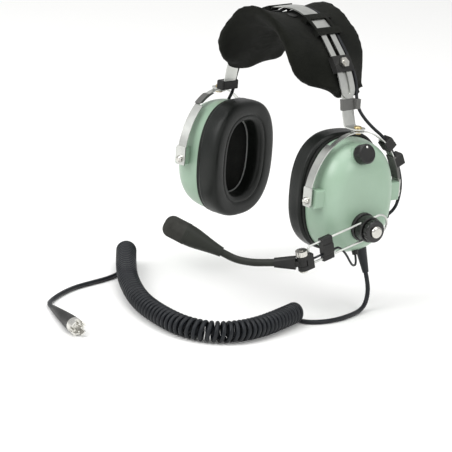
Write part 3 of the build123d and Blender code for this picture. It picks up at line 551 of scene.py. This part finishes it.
def weave():
    """Two sets of threads, one over the other, from two crossed sine waves."""
    tree, source, result = group("weave", [("Threads", 900)], [("Height", "NodeSocketFloat")])
    place = add(tree, "ShaderNodeTexCoord")
    link = tree.links.new
    waves = []
    for way in ("X", "Y", "Z"):
        wave = add(tree, "ShaderNodeTexWave", bands_direction=way)
        wave.inputs["Distortion"].default_value = 0.6
        wave.inputs["Detail"].default_value = 1
        link(place.outputs["Object"], wave.inputs["Vector"])
        link(source.outputs["Threads"], wave.inputs["Scale"])
        waves.append(wave)
    first = add(tree, "ShaderNodeMath", operation="MULTIPLY")
    both = add(tree, "ShaderNodeMath", operation="ADD")
    link(waves[0].outputs["Fac"], first.inputs[0])
    link(waves[1].outputs["Fac"], first.inputs[1])
    link(first.outputs["Value"], both.inputs[0])
    link(waves[2].outputs["Fac"], both.inputs[1])
    link(both.outputs["Value"], result.inputs["Height"])
    return tree


def mottle():
    """A mask of soft patches, for two close shades of one colour."""
    tree, source, result = group("mottle", [("Size", 40), ("Sharp", 0.2)], [("Mask", "NodeSocketFloat")])
    place = add(tree, "ShaderNodeTexCoord")
    cloud = add(tree, "ShaderNodeTexNoise")
    cloud.inputs["Detail"].default_value = 6
    low = add(tree, "ShaderNodeMath", operation="SUBTRACT")
    high = add(tree, "ShaderNodeMath", operation="ADD")
    low.inputs[0].default_value = high.inputs[0].default_value = 0.5
    spread = add(tree, "ShaderNodeMapRange")
    link = tree.links.new
    link(place.outputs["Object"], cloud.inputs["Vector"])
    link(source.outputs["Size"], cloud.inputs["Scale"])
    link(source.outputs["Sharp"], low.inputs[1])
    link(source.outputs["Sharp"], high.inputs[1])
    link(low.outputs["Value"], spread.inputs["From Min"])
    link(high.outputs["Value"], spread.inputs["From Max"])
    link(cloud.outputs["Fac"], spread.inputs["Value"])
    link(spread.outputs["Result"], result.inputs["Mask"])
    return tree


SMUDGES, GRAIN, WEAVE, MOTTLE = smudges(), grain(), weave(), mottle()
print("groups", [g.name for g in bpy.data.node_groups])

# %% [markdown]
# ## Finishes: one for each material
# A finish is two close shades mixed by a soft mask, a roughness that varies, and a relief that
# a Bump node turns into light and shade. Numbers that stay the same all over, such as the
# sheen of cloth or the coat on paint, are set on the shader itself.


# %% Finish maker
def finish(name, shade, dark, rough, size=60, relief="grain", relief_size=900, height=0.02,
           metal=0.0, **fixed):
    made = bpy.data.materials.new(name)
    made.use_nodes = True
    tree = made.node_tree
    shader = tree.nodes["Principled BSDF"]
    shader.inputs["Metallic"].default_value = metal
    for key, value in fixed.items():
        shader.inputs[key.replace("_", " ")].default_value = value
    mask = add(tree, "ShaderNodeGroup", node_tree=MOTTLE)
    mask.inputs["Size"].default_value = size
    colour = add(tree, "ShaderNodeMix", data_type="RGBA")
    colour.inputs["A"].default_value = (*shade, 1)
    colour.inputs["B"].default_value = (*dark, 1)
    gloss = add(tree, "ShaderNodeGroup", node_tree=SMUDGES)
    gloss.inputs["Size"].default_value = size * 0.7
    gloss.inputs["Low"].default_value = rough[0]
    gloss.inputs["High"].default_value = rough[1]
    skin = add(tree, "ShaderNodeGroup", node_tree=WEAVE if relief == "weave" else GRAIN)
    skin.inputs["Threads" if relief == "weave" else "Size"].default_value = relief_size
    bump = add(tree, "ShaderNodeBump")
    bump.inputs["Strength"].default_value = height
    bump.inputs["Distance"].default_value = 0.0006
    link = tree.links.new
    link(mask.outputs["Mask"], colour.inputs["Factor"])
    link(colour.outputs["Result"], shader.inputs["Base Color"])
    link(gloss.outputs["Roughness"], shader.inputs["Roughness"])
    link(skin.outputs["Height"], bump.inputs["Height"])
    link(bump.outputs["Normal"], shader.inputs["Normal"])
    return made


# %% The finishes
dome_paint = finish("dome_green", (0.29, 0.41, 0.31), (0.26, 0.375, 0.275), (0.30, 0.42), 35, height=0.12,
                    relief_size=500, Coat_Weight=0.25, Coat_Roughness=0.25)
black_plastic = finish("black_plastic", (0.009, 0.009, 0.009), (0.016, 0.016, 0.015), (0.38, 0.55),
                       height=0.35,
                       Specular_IOR_Level=0.3)
baffle_plastic = finish("baffle_black", (0.008, 0.009, 0.008), (0.013, 0.014, 0.012), (0.5, 0.65),
                        height=0.35,
                        Specular_IOR_Level=0.25)
vinyl = finish("seal_vinyl", (0.005, 0.0065, 0.0055), (0.009, 0.0105, 0.009), (0.30, 0.46), 45, height=0.35,
               relief_size=1300, Specular_IOR_Level=0.28)
foam = finish("foam", (0.006, 0.0065, 0.006), (0.010, 0.0105, 0.0095), (0.85, 1.0), height=0.9,
              relief_size=700,
              Specular_IOR_Level=0.1)
satin_steel = finish("steel_satin", (0.62, 0.63, 0.60), (0.50, 0.51, 0.49), (0.27, 0.42), 80,
                     height=0.08, metal=1.0)
nickel = finish("nickel", (0.70, 0.69, 0.65), (0.55, 0.54, 0.50), (0.14, 0.30), 120, height=0.05, metal=1.0)
brass = finish("brass", (0.62, 0.50, 0.27), (0.42, 0.32, 0.15), (0.25, 0.45), 150, height=0.08, metal=1.0)
sleeve_rubber = finish("grey_sleeve", (0.085, 0.085, 0.08), (0.11, 0.11, 0.105), (0.5, 0.65), height=0.2)
mic_plastic = finish("mic_plastic", (0.013, 0.0145, 0.011), (0.020, 0.022, 0.018), (0.42, 0.58), height=0.4,
                     Specular_IOR_Level=0.25)
mic_foam = finish("mic_foam", (0.030, 0.030, 0.027), (0.042, 0.042, 0.038), (0.85, 1.0), 120, height=1.0,
                  relief_size=1500, Specular_IOR_Level=0.15)
pad_cloth = finish("pad_fabric", (0.0042, 0.0048, 0.0034), (0.0085, 0.0092, 0.0068), (0.75, 0.95), 55,
                   "weave", 420,
                   0.55, Sheen_Weight=0.04, Sheen_Roughness=0.5, Specular_IOR_Level=0.08)
jacket = finish("cord_pvc", (0.005, 0.0062, 0.0085), (0.009, 0.011, 0.014), (0.36, 0.52), 90, height=0.25,
                Specular_IOR_Level=0.3)
plug_metal = finish("plug_metal", (0.75, 0.74, 0.70), (0.6, 0.59, 0.56), (0.18, 0.34), 120,
                    height=0.05, metal=1.0)
knob_plastic = finish("knob_black", (0.008, 0.008, 0.008), (0.013, 0.013, 0.012), (0.25, 0.4), height=0.3,
                      Specular_IOR_Level=0.35)
dot_paint = finish("dot_white", (0.85, 0.85, 0.82), (0.75, 0.75, 0.72), (0.4, 0.5), height=0.1)
hub_lacquer = finish("hub_black", (0.007, 0.007, 0.007), (0.013, 0.013, 0.012), (0.18, 0.34), height=0.1,
                     Specular_IOR_Level=0.5)
# A light grey for the rings that paint the highlight on each seal lip's inner edge.
painted_highlight_grey = finish("painted_highlight_grey", (0.30, 0.31, 0.30), (0.22, 0.23, 0.22), (0.4, 0.55), height=0.1)
FINISHES = {
    "dome_green": dome_paint, "baffle_black": baffle_plastic, "seal_vinyl": vinyl, "foam": foam,
    "driver_plastic": black_plastic, "hub_black": hub_lacquer, "knob_black": knob_plastic,
    "steel_satin": satin_steel, "nickel": nickel,
    "brass": brass, "black_plastic": black_plastic, "grey_sleeve": sleeve_rubber, "mic_plastic": mic_plastic,
    "mic_foam": mic_foam, "pad_fabric": pad_cloth, "cord_pvc": jacket, "plug_metal": plug_metal,
}


def clad(piece, material):
    piece.data.materials.clear()
    piece.data.materials.append(material)


for entry in frame["record"]["subparts"]:
    clad(nodes[entry["node"]], FINISHES[entry["material_slot"]])
for piece in [cord, *cables]:
    clad(piece, jacket)
for piece in seals:
    clad(piece, vinyl)
clad(pad, pad_cloth)
clad(dot, dot_paint)
# The rings carry the painted highlight of the seal lips' inner edges.
for ring in painted_highlight_ring:
    clad(ring, painted_highlight_grey)
clad(nodes["pad_snaps"], black_plastic)
print(len(FINISHES), "finishes")

# %% [markdown]
# ## Floor and light
# The headset stands on a pale sweep of paper under large soft lamps. One big area lamp to the left
# gives the long soft highlight on the dome, a weaker one on the right opens the shadows, and the
# pale surroundings fill the rest.

# %% Floor, lamps and surroundings
sweep = bpy.data.meshes.new("floor")
edge = 6.0
base = FLOOR * MM - 0.0002
sweep.from_pydata([(-edge, -edge, base), (edge, -edge, base), (edge, edge, base), (-edge, edge, base)], [],
                  [(0, 1, 2, 3)])
floor = bpy.data.objects.new("floor", sweep)
bpy.context.scene.collection.objects.link(floor)
paper = bpy.data.materials.new("paper")
paper.use_nodes = True
paper.node_tree.nodes["Principled BSDF"].inputs["Base Color"].default_value = (0.92, 0.92, 0.91, 1)
paper.node_tree.nodes["Principled BSDF"].inputs["Roughness"].default_value = 0.9
clad(floor, paper)


def lamp(name, place, target, size, power):
    data = bpy.data.lights.new(name, "AREA")
    data.size = size
    data.energy = power
    made = bpy.data.objects.new(name, data)
    made.location = place
    made.rotation_euler = (Vector(target) - Vector(place)).to_track_quat("-Z", "Y").to_euler()
    bpy.context.scene.collection.objects.link(made)
    return made


lamp("key", (-0.2, -2.0, 1.5), (0, 0, 0), 1.4, 34)
lamp("side", (2.2, 0.2, 1.2), (0.05, 0, 0), 1.2, 14)
lamp("top", (0.3, -0.2, 2.4), (0, 0, 0), 1.8, 26)
world = bpy.data.worlds.new("studio")
bpy.context.scene.world = world
world.use_nodes = True
world.node_tree.nodes["Background"].inputs["Color"].default_value = (1, 1, 1, 1)
world.node_tree.nodes["Background"].inputs["Strength"].default_value = 0.68
bpy.context.scene.view_settings.view_transform = "Standard"
